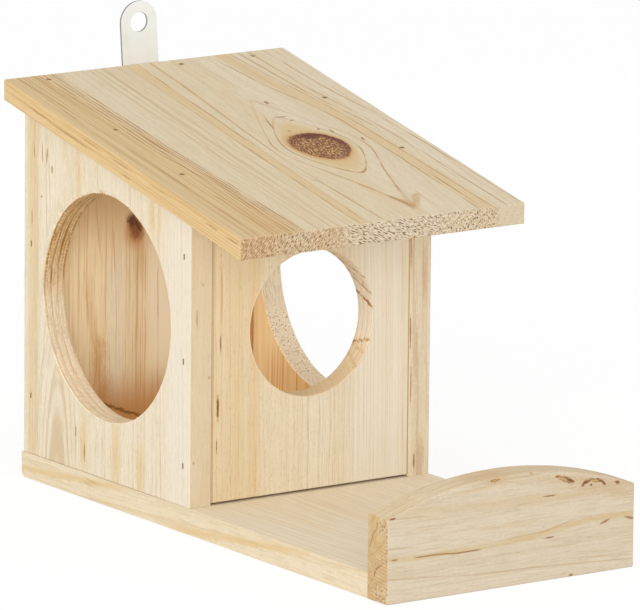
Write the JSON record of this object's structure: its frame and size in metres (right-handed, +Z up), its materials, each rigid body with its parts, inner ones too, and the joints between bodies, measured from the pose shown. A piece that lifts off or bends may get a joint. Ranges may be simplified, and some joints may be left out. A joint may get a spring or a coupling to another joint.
{
  "type": "squirrel feeder box",
  "caption": "Raw softwood squirrel feeder house with a sloping overhanging roof, round side and front entrances, an open deck with an arched front lip and a steel hanger strap",
  "frame": {"origin": "on the ground, under the middle of the bounding box", "axes": "+X to the right and +Y to the back with the hanger, seen from the front with the lip, +Z up"},
  "size_m": [0.141, 0.27, 0.1979],
  "materials": {
    "base_board": "raw planed softwood",
    "front_lip": "raw planed softwood",
    "left_wall": "raw planed softwood",
    "right_wall": "raw planed softwood",
    "front_wall": "raw planed softwood",
    "back_wall": "raw planed softwood",
    "roof_board": "raw planed softwood",
    "hanger_plate": "zinc plated",
    "hanger_screws": "zinc plated",
    "brads": "dull wire"
  },
  "bodies": {
    "root": {"base_board": "base_board", "front_lip": "front_lip", "left_wall": "left_wall", "right_wall": "right_wall", "front_wall": "front_wall", "back_wall": "back_wall", "roof_board": "roof_board", "hanger_plate": "hanger_plate", "hanger_screws": "hanger_screws", "roof_brads": "brads", "left_wall_brads": "brads", "right_wall_brads": "brads", "base_brads": "brads"}
  },
  "joints": []
}
